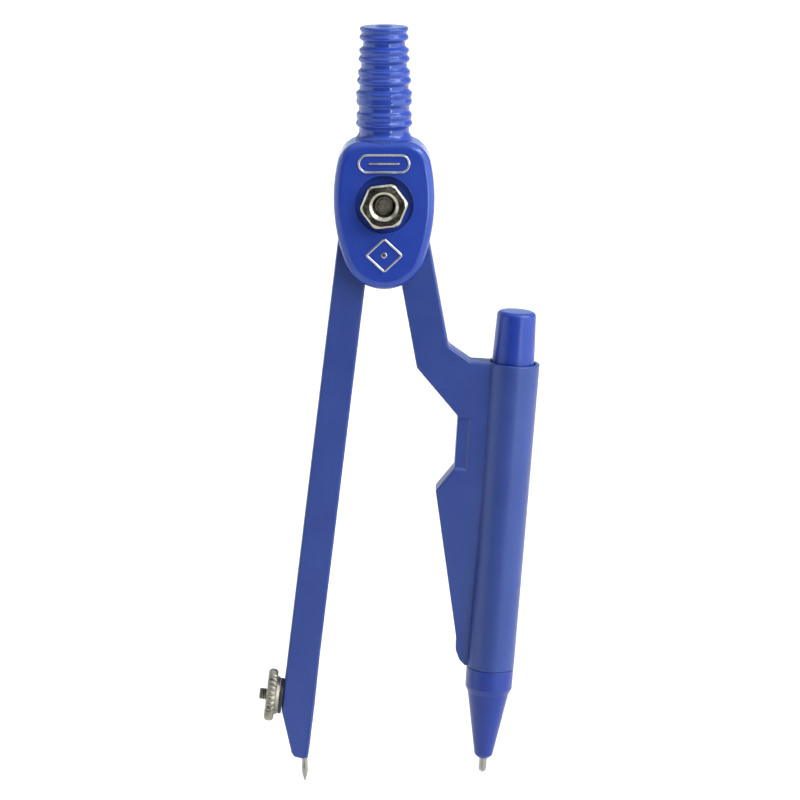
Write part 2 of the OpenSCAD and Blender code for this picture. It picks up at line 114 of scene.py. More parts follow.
def softened(points, closed=True, steps=5):
    """Rounds the corners of an outline. A point is (u, v) or (u, v, corner radius)."""
    out, count = [], len(points)
    for i, point in enumerate(points):
        here = Vector(point[:2])
        radius = point[2] if len(point) > 2 else 0.0
        if radius <= 0 or (not closed and i in (0, count - 1)):
            out.append(tuple(here))
            continue
        before = Vector(points[i - 1][:2]) - here
        after = Vector(points[(i + 1) % count][:2]) - here
        half = before.angle(after) / 2
        reach = min(radius / math.tan(half), MOST_OF_A_SIDE * before.length, MOST_OF_A_SIDE * after.length)
        radius = reach * math.tan(half)
        if half > NEARLY_STRAIGHT:
            out.append(tuple(here))
            continue
        middle = (before.normalized() + after.normalized()).normalized()
        centre = here + middle * (radius / math.sin(half))
        first = here + before.normalized() * reach - centre
        last = here + after.normalized() * reach - centre
        a0 = math.atan2(first.y, first.x)
        sweep = (math.atan2(last.y, last.x) - a0 + math.pi) % (2 * math.pi) - math.pi
        for k in range(steps + 1):
            a = a0 + sweep * k / steps
            out.append((centre.x + radius * math.cos(a), centre.y + radius * math.sin(a)))
    return out


def inset(outline, amount):
    """Moves a counter-clockwise outline inwards by an amount."""
    out, count = [], len(outline)
    for i in range(count):
        here = Vector(outline[i])
        along = (here - Vector(outline[i - 1])).normalized()
        onward = (Vector(outline[(i + 1) % count]) - here).normalized()
        n1, n2 = Vector((-along.y, along.x)), Vector((-onward.y, onward.x))
        miter = n1 + n2
        out.append(tuple(here + miter * (amount * 2 / max(miter.length_squared, LEAST_MITER))))
    return out


# ---------------------------------------------------------------- mesh builders

ON_AXIS = 1e-6  # a lathe point this near the axis is one vertex
WELD = 1e-5
CLEAN_WELD = 1e-4  # after booleans, which leave near-double points


def mesh_object(name, bm):
    """Makes an object from a bmesh, with its faces turned outwards."""
    bmesh.ops.remove_doubles(bm, verts=bm.verts, dist=WELD)
    bmesh.ops.recalc_face_normals(bm, faces=bm.faces)
    mesh = bpy.data.meshes.new(name)
    bm.to_mesh(mesh)
    bm.free()
    made = bpy.data.objects.new(name, mesh)
    bpy.context.scene.collection.objects.link(made)
    return made


def bridge(bm, rings, wrap=False):
    """Quads between successive rings of vertices. A ring of one vertex is a point."""
    pairs = list(zip(rings, rings[1:])) + ([(rings[-1], rings[0])] if wrap else [])
    for low, high in pairs:
        count = max(len(low), len(high))
        for i in range(count):
            corners = [low[i % len(low)], low[(i + 1) % len(low)],
                       high[(i + 1) % len(high)], high[i % len(high)]]
            unique = list(dict.fromkeys(corners))
            if len(unique) > 2:
                bm.faces.new(unique)


def plate(name, outline, y0, y1, edge=0.3, steps=3):
    """A flat moulding: an outline in X and Z with thickness in Y and rounded edges."""
    bm = bmesh.new()
    rings = []
    levels = [math.radians(90 * k / steps) for k in range(steps + 1)]
    sections = [(edge * (1 - math.sin(a)), y0 + edge * (1 - math.cos(a))) for a in levels]
    sections += [(edge * (1 - math.sin(a)), y1 - edge * (1 - math.cos(a))) for a in reversed(levels)]
    for shrink, y in sections:
        rings.append([bm.verts.new((u, y, v)) for u, v in inset(outline, shrink)])
    bridge(bm, rings)
    bm.faces.new(rings[0])
    bm.faces.new(list(reversed(rings[-1])))
    return mesh_object(name, bm)


def lathe(name, profile, segments=96, closed=False, offset=(0, 0, 0)):
    """Spins a profile of (radius, height) points round Z. A closed one makes a tube or ring."""
    bm = bmesh.new()
    rings = []
    for r, z in profile:
        if r < ON_AXIS:
            rings.append([bm.verts.new((0, 0, z))])
            continue
        angles = [2 * math.pi * i / segments for i in range(segments)]
        rings.append([bm.verts.new((r * math.cos(a), r * math.sin(a), z)) for a in angles])
    bridge(bm, rings, wrap=closed)
    if not closed:
        for ring in (rings[0], rings[-1]):
            if len(ring) > 1:
                bm.faces.new(ring)
    bmesh.ops.translate(bm, verts=bm.verts, vec=Vector(offset))
    return mesh_object(name, bm)


def turned(made, matrix):
    """Turns the mesh of an object, still in millimetres."""
    made.data.transform(matrix)
    return made


def lathe_along_front(name, radius, y0, y1, segments=64):
    """A round bar along Y through the pivot."""
    return turned(lathe(name, [(0, -y1), (radius, -y1), (radius, -y0), (0, -y0)], segments), TO_FRONT)


def combine(body, tool, operation):
    """Joins or cuts a mesh with another, and removes the other."""
    modifier = body.modifiers.new("combine", "BOOLEAN")
    modifier.operation = operation
    modifier.solver = "EXACT"
    modifier.object = tool
    bpy.context.view_layer.update()
    solved = body.evaluated_get(bpy.context.evaluated_depsgraph_get())
    shape = bpy.data.meshes.new_from_object(solved)
    body.modifiers.clear()
    body.data = shape
    bpy.data.objects.remove(tool)
    return body


def cut(body, tool):
    return combine(body, tool, "DIFFERENCE")


def join(body, tool):
    return combine(body, tool, "UNION")


def thread_bar(name, radius, depth, pitch, low, high, segments=48, per_turn=16, lead_in=0.3):
    """A bar with a helical thread between two heights. The thread dies out over the lead-in at each end."""
    bm = bmesh.new()
    levels = int((high - low) / pitch * per_turn)
    rings = []
    for k in range(levels + 1):
        z = low + (high - low) * k / levels
        end = min((z - low) / lead_in, (high - z) / lead_in, 1.0)
        ring = []
        for i in range(segments):
            phase = (z / pitch - i / segments) % 1.0
            ridge = 1 - abs(2 * phase - 1)
            r = radius - depth * (1 - ridge) - depth * (1 - end)
            a = 2 * math.pi * i / segments
            ring.append(bm.verts.new((r * math.cos(a), r * math.sin(a), z)))
        rings.append(ring)
    bridge(bm, rings)
    bm.faces.new(rings[0])
    bm.faces.new(list(reversed(rings[-1])))
    return mesh_object(name, bm)


def finish_shape(made, sharp=32, soften=0.0):
    """Smooth shading that keeps sharp edges crisp, with an optional fine bevel on them."""
    bm = bmesh.new()
    bm.from_mesh(made.data)
    bmesh.ops.remove_doubles(bm, verts=bm.verts, dist=CLEAN_WELD)
    bmesh.ops.dissolve_degenerate(bm, edges=bm.edges, dist=CLEAN_WELD)
    for face in bm.faces:
        face.smooth = True
    for edge in bm.edges:
        edge.smooth = len(edge.link_faces) != 2 or edge.calc_face_angle(0) < math.radians(sharp)
    bm.to_mesh(made.data)
    bm.free()
    if soften:
        bevel = made.modifiers.new("fine_edges", "BEVEL")
        bevel.width = soften
        bevel.segments = 2
        bevel.limit_method = "ANGLE"
        bevel.angle_limit = math.radians(sharp)
        bevel.harden_normals = False
    normals = made.modifiers.new("normals", "WEIGHTED_NORMAL")
    normals.keep_sharp = True
    normals.weight = 80
    return made


# ---------------------------------------------------------------- materials

SPREAD = (0.3, 0.7, 0, 1)  # a noise's usual range, spread over 0 to 1
SCUFF_RUN = (0.25, 4.0, 9.0)  # hairlines that run along X
PLASTIC_SHEEN = (0.66, 0.8, 1.0, 1)


class Nodes:
    """A material's node tree, with short calls for the nodes used here."""

    def __init__(self, name):
        self.material = bpy.data.materials.new(name)
        self.material.use_nodes = True
        self.tree = self.material.node_tree
        self.shader = self.tree.nodes["Principled BSDF"]

    def add(self, kind, **settings):
        made = self.tree.nodes.new(kind)
        for key, value in settings.items():
            setattr(made, key, value)
        return made

    def link(self, source, target):
        self.tree.links.new(source, target)

    def set(self, **sockets):
        for key, value in sockets.items():
            self.shader.inputs[key.replace("_", " ")].default_value = value

    def place(self, unit, stretch=(1, 1, 1)):
        """Object coordinates in millimetres, stretched along an axis where wanted."""
        where = self.add("ShaderNodeTexCoord")
        mapping = self.add("ShaderNodeMapping")
        mapping.inputs["Scale"].default_value = [unit * s for s in stretch]
        self.link(where.outputs["Object"], mapping.inputs["Vector"])
        return mapping.outputs["Vector"]

    def noise(self, where, scale, detail=3.0, roughness=0.5):
        made = self.add("ShaderNodeTexNoise")
        made.inputs["Scale"].default_value = scale
        made.inputs["Detail"].default_value = detail
        made.inputs["Roughness"].default_value = roughness
        self.link(where, made.inputs["Vector"])
        return made.outputs["Fac"]

    def ramp(self, value, low, high, out_low, out_high):
        made = self.add("ShaderNodeMapRange", interpolation_type="SMOOTHSTEP")
        for key, number in (("From Min", low), ("From Max", high), ("To Min", out_low), ("To Max", out_high)):
            made.inputs[key].default_value = number
        self.link(value, made.inputs["Value"])
        return made.outputs["Result"]

    def math(self, operation, a, b=None):
        made = self.add("ShaderNodeMath", operation=operation)
        for socket, value in zip(made.inputs, (a, b)):
            if isinstance(value, (int, float)):
                socket.default_value = value
            elif value is not None:
                self.link(value, socket)
        return made.outputs[0]

    def mix(self, factor, a, b):
        made = self.add("ShaderNodeMix", data_type="RGBA")
        self.link(factor, made.inputs["Factor"])
        made.inputs["A"].default_value = (*a, 1)
        made.inputs["B"].default_value = (*b, 1)
        return made.outputs["Result"]

    def bump(self, height, strength, distance, after=None):
        made = self.add("ShaderNodeBump")
        made.inputs["Strength"].default_value = strength
        made.inputs["Distance"].default_value = distance * MM
        self.link(height, made.inputs["Height"])
        if after is not None:
            self.link(after, made.inputs["Normal"])
        return made.outputs["Normal"]

    def finish(self, color=None, roughness=None, normal=None):
        for key, source in (("Base Color", color), ("Roughness", roughness), ("Normal", normal)):
            if source is not None:
                self.link(source, self.shader.inputs[key])
        return self.material


def moulded_plastic(name, light, dark, gloss, parting=True, polished_above=None):
    """Injection-moulded plastic: slight colour drift, orange peel, hairline scuffs, a parting line.

    Above the height polished_above, where one is given, fingers have polished it.
    """
    n = Nodes(name)
    where = n.place(1.0)
    drift = n.noise(where, 0.09, 2)
    color = n.mix(n.ramp(drift, *SPREAD), dark, light)
    smudge = n.ramp(n.noise(where, 0.35, 4, 0.6), 0.35, 0.7, gloss - 0.03, gloss + 0.05)
    scuffs = n.noise(n.place(1.0, SCUFF_RUN), 0.8, 2, 0.5)
    scuffed = n.ramp(scuffs, 0.67, 0.74, 0, 0.05)
    rough = n.math("ADD", smudge, scuffed)
    if polished_above is not None:
        height = n.add("ShaderNodeSeparateXYZ")
        n.link(where, height.inputs[0])
        fade, polish = 0.35, 0.3
        worn = n.ramp(height.outputs["Z"], polished_above, polished_above + fade, 1, polish)
        rough = n.math("MULTIPLY", rough, worn)
    peel = n.bump(n.noise(where, 0.6, 2), 0.1, 0.02)
    grain = n.bump(n.noise(where, 9.0, 3), 0.3, 0.003, peel)
    if parting:
        split = n.add("ShaderNodeSeparateXYZ")
        n.link(where, split.inputs[0])
        away = n.math("ABSOLUTE", split.outputs["Y"])
        crest, foot = 0.02, 0.09
        grain = n.bump(n.ramp(away, crest, foot, 1, 0), 0.5, 0.02, grain)
    n.set(IOR=1.5, Specular_IOR_Level=0.65, Specular_Tint=PLASTIC_SHEEN)
    return n.finish(color, rough, grain)


def plated_metal(name, color, shade, rough, unit=1.0, turning=(1, 1, 1), marks=0.15):
    """Plated or ground metal: tarnish drift, fine tool marks along one direction, small pits."""
    n = Nodes(name)
    where = n.place(unit)
    tone = n.mix(n.ramp(n.noise(where, 0.5, 4, 0.6), *SPREAD), shade, color)
    smears = n.ramp(n.noise(where, 1.3, 3), 0.3, 0.75, rough * 0.7, rough * 1.5)
    tool = n.bump(n.noise(n.place(unit, turning), 2.2, 2), marks, 0.02)
    pits = n.bump(n.noise(where, 5.0, 2), marks * 0.6, 0.01, tool)
    n.set(Metallic=1.0)
    return n.finish(tone, smears, pits)


def matt_solid(name, light, dark, rough, unit=1.0, metallic=0.0):
    """Rubber, fibre, graphite or natural plastic: matt, with fine grain."""
    n = Nodes(name)
    where = n.place(unit)
    color = n.mix(n.ramp(n.noise(where, 2.0, 4, 0.6), *SPREAD), dark, light)
    rougher = n.ramp(n.noise(where, 4.0, 2), 0.3, 0.7, rough - 0.06, rough + 0.08)
    grain = n.bump(n.noise(where, 10.0, 3), 0.2, 0.015)
    n.set(Metallic=metallic)
    return n.finish(color, rougher, grain)


CAD_UNIT = 1000.0  # the CAD nodes are in metres, the other pieces in millimetres
RINGS_X = (7, 1, 1)  # tool marks that ring an axis
RINGS_Y = (1, 6, 1)
RINGS_Z = (0.3, 0.3, 9.0)
CAP_POLISHED_ABOVE = -17.1  # near the button's top, in the pencil leg's frame
BLUE = dict(light=(0.024, 0.056, 0.342), dark=(0.019, 0.048, 0.315))
LEG_BLUE = dict(light=(0.022, 0.046, 0.232), dark=(0.018, 0.040, 0.212))
CAP_BLUE = dict(light=(0.010, 0.036, 0.300), dark=(0.008, 0.030, 0.275))
PENCIL_BLUE = dict(light=(0.004, 0.022, 0.230), dark=(0.003, 0.019, 0.215))
look = {
    "blue": moulded_plastic("blue_abs", gloss=0.16, **BLUE),
    "leg_blue": moulded_plastic("blue_abs_leg", gloss=0.36, **LEG_BLUE),
    "blue_plain": moulded_plastic("blue_abs_turned", gloss=0.36, parting=False, **PENCIL_BLUE),
    "blue_cap": moulded_plastic("blue_abs_cap", gloss=0.34, parting=False,
                                polished_above=CAP_POLISHED_ABOVE, **CAP_BLUE),
    "foil": plated_metal("silver_foil", (0.62, 0.61, 0.63), (0.40, 0.40, 0.43), 0.17, marks=0.1),
    "nut": plated_metal("bright_plating", (0.52, 0.49, 0.40), (0.30, 0.285, 0.23), 0.17, turning=RINGS_Y),
    "screw": plated_metal("dull_plating", (0.20, 0.19, 0.15), (0.12, 0.115, 0.09), 0.42, turning=RINGS_Y),
    "thumb": plated_metal("nickel", (0.34, 0.325, 0.265), (0.22, 0.21, 0.17), 0.46, turning=RINGS_X),
    "steel": plated_metal("ground_steel", (0.40, 0.39, 0.36), (0.28, 0.275, 0.25), 0.40, turning=RINGS_Z),
    # near-black colour: painted shade for the shade between the thumb nut and the needle leg
    "washer": matt_solid("painted_shade_black_washer", (0.012, 0.012, 0.016), (0.006, 0.006, 0.009), 0.6),
    "graphite": matt_solid("graphite", (0.10, 0.10, 0.11), (0.05, 0.05, 0.055), 0.42, metallic=0.4),
    "spring": plated_metal("spring_wire", (0.62, 0.62, 0.60), (0.5, 0.5, 0.48), 0.18),
    "cad_brass": plated_metal("turned_brass", (0.72, 0.52, 0.20), (0.58, 0.40, 0.14), 0.25, CAD_UNIT),
    "cad_tube": matt_solid("natural_plastic", (0.80, 0.80, 0.77), (0.70, 0.70, 0.67), 0.42, CAD_UNIT),
    "cad_rubber": matt_solid("black_rubber", (0.02, 0.02, 0.02), (0.01, 0.01, 0.01), 0.6, CAD_UNIT),
}


def place(made, matrix, body, material, slot, *nodes):
    """Puts a finished piece in its frame, on its body, with its material."""
    made.data.materials.clear()
    made.data.materials.append(look[material])
    made.matrix_world = matrix
    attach(made, body)
    if nodes:
        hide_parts(*nodes)
    return made


# ---------------------------------------------------------------- head

# T is a thickness along Y, R a radius, W a width.
HEAD_T = 10.0
HEAD_HALF_W = 8.22
HEAD_END_R = 6.8
HEAD_END_Z = -7.3
CORNER_R = 4.6
CORNER = (3.1, 5.7)  # centre of a shoulder
WIDEST_Z = 0.8
NECK_R = 4.1
RECESS_R = 4.7
RECESS_Y = HEAD_T / 2 - 0.9
PIVOT_BORE_R = 2.1

# The legs where they enter the head.
LEG_T = 4.9
SLOT_T = 5.0
SLOT_ROOF_R = 6.95
SLOT_SPARE = 0.15
OPENING = 45.0  # a leg's turn to its stop, in degrees
FAR = 30.0
EYE_R = 6.75
LAP_R = 7.0
LAP_Y = 0.22  # half the gap between the half-thickness eyes
LEG_IN = 1.42
LEG_OUT = 6.75
LEG_REST_LEAN = 7.0
ARM_LEAN = 14.2  # the arm's lean against the barrel, in degrees
BARREL_REST_LEAN = 3.9
ARM_OUT = 6.13
ARM_IN = 0.36


def side_radius(radius, centre_x, rise):
    """Radius of a side, upright at the widest point, that runs smoothly into a smaller circle."""
    inset_x = centre_x - HEAD_HALF_W
    return (radius ** 2 - inset_x ** 2 - rise ** 2) / (2 * (inset_x + radius))


def head_outline():
    """Round below, full at the pivot, square-shouldered above."""
    fall, rise = WIDEST_Z - HEAD_END_Z, CORNER[1] - WIDEST_Z
    low_r = side_radius(HEAD_END_R, 0, fall)
    high_r = side_radius(CORNER_R, CORNER[0], rise)
    meet_low = -math.degrees(math.atan2(fall, low_r - HEAD_HALF_W))
    meet_high = math.degrees(math.atan2(rise, CORNER[0] + high_r - HEAD_HALF_W))
    right = arc((0, HEAD_END_Z), HEAD_END_R, -90, meet_low, 14)[:-1]
    right += arc((HEAD_HALF_W - low_r, WIDEST_Z), low_r, meet_low, 0, 12)[:-1]
    right += arc((HEAD_HALF_W - high_r, WIDEST_Z), high_r, 0, meet_high, 8)[:-1]
    right += arc(CORNER, CORNER_R, meet_high, 90, 14)
    left = [(-u, v) for u, v in reversed(right[1:])]
    return right + left


def slot_outline():
    """All that the two legs sweep between the cheeks, up to their stops."""
    sides = []
    for reach, angle in ((ARM_OUT, ARM_LEAN - BARREL_REST_LEAN), (LEG_OUT, LEG_REST_LEAN)):
        offset, angle = reach + SLOT_SPARE, angle + OPENING
        enters = math.sqrt(SLOT_ROOF_R ** 2 - offset ** 2)
        sides.append((swung(offset, enters, angle), swung(offset, FAR, angle)))
    (right_in, right_far), (left_in, left_far) = sides
    start = math.degrees(math.atan2(right_in[1], right_in[0]))
    end = 180 - math.degrees(math.atan2(left_in[1], left_in[0]))
    roof = arc((0, 0), SLOT_ROOF_R, start, end, 40)
    return [(FAR, -FAR), right_far] + roof + [(-left_far[0], left_far[1]), (-FAR, -FAR)]


def ease(x):
    """Runs from 0 to 1 with level ends."""
    x = min(max(x, 0.0), 1.0)
    return x * x * (3 - 2 * x)


def grip_profile():
    """The neck, ten soft ribs in pairs and the flat top with its moulding nub, from below."""
    top_z, pitch, gap = 28.1, 3.5, 1.42
    heights = [top_z - (i // 2) * pitch - (i % 2) * gap for i in range(10)]
    crests = [3.96, 4.01, 4.07, 4.19, 4.26, 4.44, 4.58, 4.55, 4.52, 4.62]
    floors = [3.68, 3.45, 3.83, 3.75, 4.14, 4.03, 4.44, 4.14, 4.42, NECK_R]
    last = len(heights) - 1
    run_out, half_crest, wide_gap, slope, step = 0.85, 0.08, 1.6, 0.78, 0.07
    flare_r, flare_z = 1.5, 11.6
    points = [(NECK_R, 8.0)]
    flare = [(NECK_R + flare_r * (1 - math.cos(a)), flare_z - flare_r * math.sin(a))
             for a in (math.radians(6 * k) for k in range(11))]
    points += [(max(r, NECK_R), z) for r, z in reversed(flare)]
    z = heights[last] - run_out
    while z < heights[0] - 0.02:
        i = [k for k in range(last + 1) if heights[k] >= z][-1]
        if i == last:
            r = crests[i] - (crests[i] - floors[i]) * ease((heights[i] - z) / run_out)
        else:
            span = heights[i] - heights[i + 1]
            share = (heights[i] - z) / span
            rim = crests[i] + (crests[i + 1] - crests[i]) * share
            near = min(share, 1 - share) * span
            reach = span / 2 if span < wide_gap else slope
            r = rim - (rim - floors[i]) * ease((near - half_crest) / (reach - half_crest))
        points.append((r, z))
        z += step
    top, edge = heights[0] + 0.35, 0.42
    points += [(crests[0] - edge * (1 - math.cos(a)), top - edge + edge * math.sin(a))
               for a in (math.radians(90 * k / 6) for k in range(7))]
    nub = [(1.7, 0), (1.5, 0.04), (1.2, 0.17), (0.9, 0.25), (0.5, 0.29), (0, 0.3)]
    return points + [(r, top + rise) for r, rise in nub]


def flared_cutter(radius, y_inner, y_outer):
    """A round cutter along Y whose mouth opens out, so that the cut's rim is rounded."""
    lip = 0.22
    length = abs(y_outer - y_inner)
    profile = [(0, 0), (radius, 0), (radius, length - lip)]
    profile += [(radius + lip * (1 - math.cos(a)), length - lip + lip * math.sin(a))
                for a in (math.radians(90 * k / 4) for k in range(1, 5))]
    profile += [(radius + lip, length + 2), (0, length + 2)]
    turn = TO_FRONT if y_outer < y_inner else TO_FRONT.inverted()
    return turned(lathe("cutter", profile, 96), Matrix.Translation((0, y_inner, 0)) @ turn)


def make_handle():
    """The head with its slot and recesses, and the grip."""
    body = plate("handle", head_outline(), -HEAD_T / 2, HEAD_T / 2, edge=1.4, steps=9)
    join(body, lathe("grip", grip_profile(), 112))
    cut(body, plate("slot", slot_outline(), -SLOT_T / 2, SLOT_T / 2, edge=0.05, steps=1))
    cut(body, lathe_along_front("bore", PIVOT_BORE_R, -HEAD_T, HEAD_T))
    cut(body, flared_cutter(RECESS_R, -RECESS_Y, -HEAD_T / 2))
    cut(body, flared_cutter(RECESS_R, RECESS_Y, HEAD_T / 2))
    finish_shape(body, 30)
    place(body, HEAD, "head", "blue", "blue_plastic", "handle_yoke")


def raised_line(name, path, y, half_width=0.21):
    """A closed line with a rounded section that stands out of a face towards the front."""
    height, root = 0.22, -0.1
    bm = bmesh.new()
    rings = []
    section = [(half_width * math.cos(a), height * math.sin(a))
               for a in (math.radians(180 * k / 8) for k in range(9))]
    section += [(-half_width, root), (half_width, root)]
    edges = [(inset(path, -across), out) for across, out in section]
    for i in range(len(path)):
        rings.append([bm.verts.new((line[i][0], y - out, line[i][1])) for line, out in edges])
    bridge(bm, rings, wrap=True)
    return mesh_object(name, bm)


def make_foil():
    """Plain outlines in place of any mark: a pill with a bar above the nut, a diamond with a dot below."""
    front, upper, lower = -HEAD_T / 2, 6.7, -8.3
    half, round_r = 2.7, 1.39
    pill = arc((half, upper), round_r, -90, 90, 14) + arc((-half, upper), round_r, 90, 270, 14)
    bar_r, bar_line, short = 0.08, 0.14, 0.4
    bar = arc((half - short, upper), bar_r, -90, 90, 4) + arc((short - half, upper), bar_r, 90, 270, 4)
    wide, high, corner_r = 2.9, 2.7, 0.3
    corners = [(wide, lower, corner_r), (0, lower + high, corner_r),
               (-wide, lower, corner_r), (0, lower - high, corner_r)]
    made = raised_line("foil_outlines", pill, front)
    parts = [raised_line("foil_bar", bar, front, bar_line),
             raised_line("foil_diamond", softened(corners), front)]
    dot = softened([(0, -0.1), (0.5, -0.1), (0.5, 0.2, 0.15), (0, 0.22)], closed=False)
    parts.append(turned(lathe("foil_dot", dot, 32), Matrix.Translation((0, front, lower)) @ TO_FRONT))
    bm = bmesh.new()
    for piece in [made] + parts:
        bm.from_mesh(piece.data)
    bm.to_mesh(made.data)
    bm.free()
    for piece in parts:
        bpy.data.objects.remove(piece)
    finish_shape(made, 50)
    place(made, HEAD, "head", "foil", "silver_foil", "foil_emblems")


# ---------------------------------------------------------------- pivot hardware

NUT_FLATS = 7.0  # across the flats, for M4
NUT_T = 3.2
NUT_TURN = 7  # how far the nut stands turned from a corner to the right, in degrees
THREAD_R = 2.0
SCREW_END_Y = -6.1
SCREW_TURN = 0.4
WASHER_Y = 4.1
WASHER_T = 0.8


def make_nut():
    """A hexagon nut: a round land inside a conical chamfer on both faces, and a countersunk thread."""
    corner, corner_r = NUT_FLATS / 2 / math.cos(math.radians(30)), 1.15
    turns = [60 * k + NUT_TURN for k in range(6)]
    hexagon = [(*arc((0, 0), corner, a, a, 1)[0], corner_r) for a in turns]
    y0 = -RECESS_Y - NUT_T
    to_nut = Matrix.Translation((0, -RECESS_Y, 0)) @ TO_FRONT
    body = plate("nut", softened(hexagon), y0, -RECESS_Y, edge=0.3, steps=1)
    land, reach = 3.42, 3.9
    drop = (reach - land) * math.tan(math.radians(30))
    barrel = [(0, 0), (land, 0, 0.4), (reach, drop), (reach, NUT_T - drop), (land, NUT_T, 0.5), (0, NUT_T)]
    combine(body, turned(lathe("barrel", softened(barrel, closed=False), 120), to_nut), "INTERSECT")
    minor, half_pitch, sink_r = 1.82, 0.2, 2.4
    hole = [(0, -1), (THREAD_R, -1)]
    hole += [(THREAD_R if k % 2 else minor, 0.3 + half_pitch * k) for k in range(13)]
    hole += [(THREAD_R, NUT_T - 0.3), (2.28, NUT_T - 0.08), (sink_r, NUT_T + 0.02),
             (sink_r, NUT_T + 1), (0, NUT_T + 1)]
    cut(body, turned(lathe("hole", hole, 96), to_nut))
    finish_shape(body, 26, soften=0.05)
    place(body, HEAD, "head", "nut", "nut_steel", "pivot_nut")


def make_pivot_screw():
    """The M4 screw: its thread, its stepped and chamfered end in the nut, and the slotted head behind."""
    under_head = WASHER_Y + WASHER_T
    length = under_head - SCREW_END_Y
    shank = thread_bar("screw", THREAD_R, 0.28, 0.7, 0.0, length, lead_in=0.45)
    end = [(0, length), (1.1, length, 0.05), (1.2, length - 0.12, 0.05), (1.42, length - 0.1, 0.08),
           (1.78, length - 0.42), (2.1, length - 0.8), (2.1, -1), (0, -1)]
    combine(shank, lathe("end", softened(end, closed=False), 64), "INTERSECT")
    head = [(0, 0.15), (3.9, 0.15, 0.1), (4.0, -0.4, 0.2), (4.0, -1.3, 0.7), (3.3, -2.1, 1.2),
            (2.2, -2.4, 1.5), (0, -2.4)]
    join(shank, lathe("head", softened(list(reversed(head)), closed=False), 80))
    floor, half_slot = -1.2, 0.6
    slot = [(-5, -3), (5, -3), (5, floor), (-5, floor)]
    cut(shank, plate("slot", slot, -half_slot, half_slot, edge=0.02, steps=1))
    turned(shank, Matrix.Translation((0, under_head, 0)) @ TO_FRONT @ Matrix.Rotation(SCREW_TURN, 4, "Z"))
    finish_shape(shank, 35)
    place(shank, HEAD, "head", "screw", "screw_steel", "pivot_screw")


def ring_profile(inner, outer, low, high, edge):
    """A washer or bush: a closed profile with rounded corners."""
    return softened([(inner, low, edge), (outer, low, edge), (outer, high, edge), (inner, high, edge)])


def make_pivot_washer():
    """The washer under the screw's head."""
    made = lathe("washer", ring_profile(2.15, 4.5, 0, WASHER_T, 0.12), 80, closed=True)
    turned(made, Matrix.Translation((0, WASHER_Y + WASHER_T, 0)) @ TO_FRONT)
    finish_shape(made, 50)
    place(made, HEAD, "head", "screw", "screw_steel", "pivot_washer")


# ---------------------------------------------------------------- needle leg

FOOT_Z = -95.4
NEEDLE_R = 0.5
SHANK_R = 0.6
NEEDLE_BORE_R = SHANK_R + 0.05
BOLT_R = 1.0
BOLT_HOLE_R = 1.05
BOLT_HEAD_R = 1.3
COLLAR_T = 0.6
HUB_T = 0.55
THUMB_T = 1.6
BOLT_SHOWS = 1.15  # how far the bolt stands out of the thumb nut
SEAT = 0.02  # gap between two seated faces


def needle_leg_outline():
    """The round eye, the straight bar and the tapered foot."""
    inner = math.degrees(math.atan2(-math.sqrt(EYE_R ** 2 - LEG_IN ** 2), -LEG_IN))
    eye = arc((0, 0), EYE_R, inner, 180, 72)
    foot_in = LEG_IN - 0.15
    foot = [(-LEG_OUT, -87.2, 4.0), (-LEG_IN - 2.72, FOOT_Z + 0.8, 0.6), (-LEG_IN - 2.2, FOOT_Z + 0.2, 0.6),
            (-LEG_IN - 0.7, FOOT_Z, 0.8), (-foot_in - 0.13, FOOT_Z + 0.3, 0.3), (-foot_in, FOOT_Z + 1, 0.5),
            (-foot_in, -86, 20), (-LEG_IN, -76, 20)]
    return softened(eye + foot, steps=6)


def along_needle(z):
    """Where the needle's upright axis is at a height in the row frame, as a matrix for a mesh."""
    return NEEDLE_LEG.inverted() @ Matrix.Translation((NEEDLE_X, 0, z)) @ Matrix.Scale(MM, 4)


def half_lap(y0, y1):
    """Cuts an eye to half its thickness, between two depths."""
    return lathe_along_front("lap", LAP_R, y0, y1, 96)


def make_needle_leg():
    """The bar with its half-thickness eye, the needle's bore and the clamp bolt's hole."""
    body = plate("needle_leg_bar", needle_leg_outline(), -LEG_T / 2, LEG_T / 2, edge=0.42, steps=4)
    cut(body, half_lap(-LAP_Y, LEG_T))
    cut(body, lathe_along_front("bore", PIVOT_BORE_R, -LEG_T, LEG_T))
    bore = lathe("bore", [(0, -1), (NEEDLE_BORE_R, -1), (NEEDLE_BORE_R, 27), (0, 27)], 40)
    cut(body, turned(bore, along_needle(NEEDLE_TIP)))
    head_hole_r, shoulder = BOLT_HEAD_R + 0.06, 4.4
    hole = [(0, 0), (head_hole_r, 0), (head_hole_r, shoulder), (BOLT_HOLE_R, shoulder),
            (BOLT_HOLE_R, 12), (0, 12)]
    cut(body, turned(lathe("bolt_hole", hole, 48), Matrix.Translation((0, 0, CLAMP_Z)) @ TO_SIDE))
    finish_shape(body, 34)
    place(body, NEEDLE_LEG, "needle_leg", "leg_blue", "blue_plastic", "needle_leg")


def make_needle():
    """The needle: a ground point, a slight shoulder and the shank inside the foot."""
    point = [(0, 0), (0.09, 0.02), (0.23, 0.5), (0.42, 1.25), (NEEDLE_R + 0.05, 1.9, 0.8)]
    shoulder = [(0.54, 2.4, 1), (0.48, 3.0, 0.5), (0.48, 3.9, 0.2)]
    shank = [(SHANK_R, 4.3, 0.3), (SHANK_R, 23.7, 0.1), (0.4, 24), (0, 24)]
    profile = point + shoulder + shank
    made = lathe("needle_pin", softened(profile, closed=False, steps=4), 40)
    finish_shape(made, 50)
    matrix = Matrix.Translation((NEEDLE_X, 0, NEEDLE_TIP)) @ Matrix.Scale(MM, 4)
    place(made, matrix, "needle", "steel", "needle_steel", "needle")


def clamp_frame(out):
    """The clamp axis as Z, from a distance out of the leg's centre line."""
    return Matrix.Translation((0, 0, CLAMP_Z)) @ TO_SIDE @ Matrix.Translation((0, 0, out))


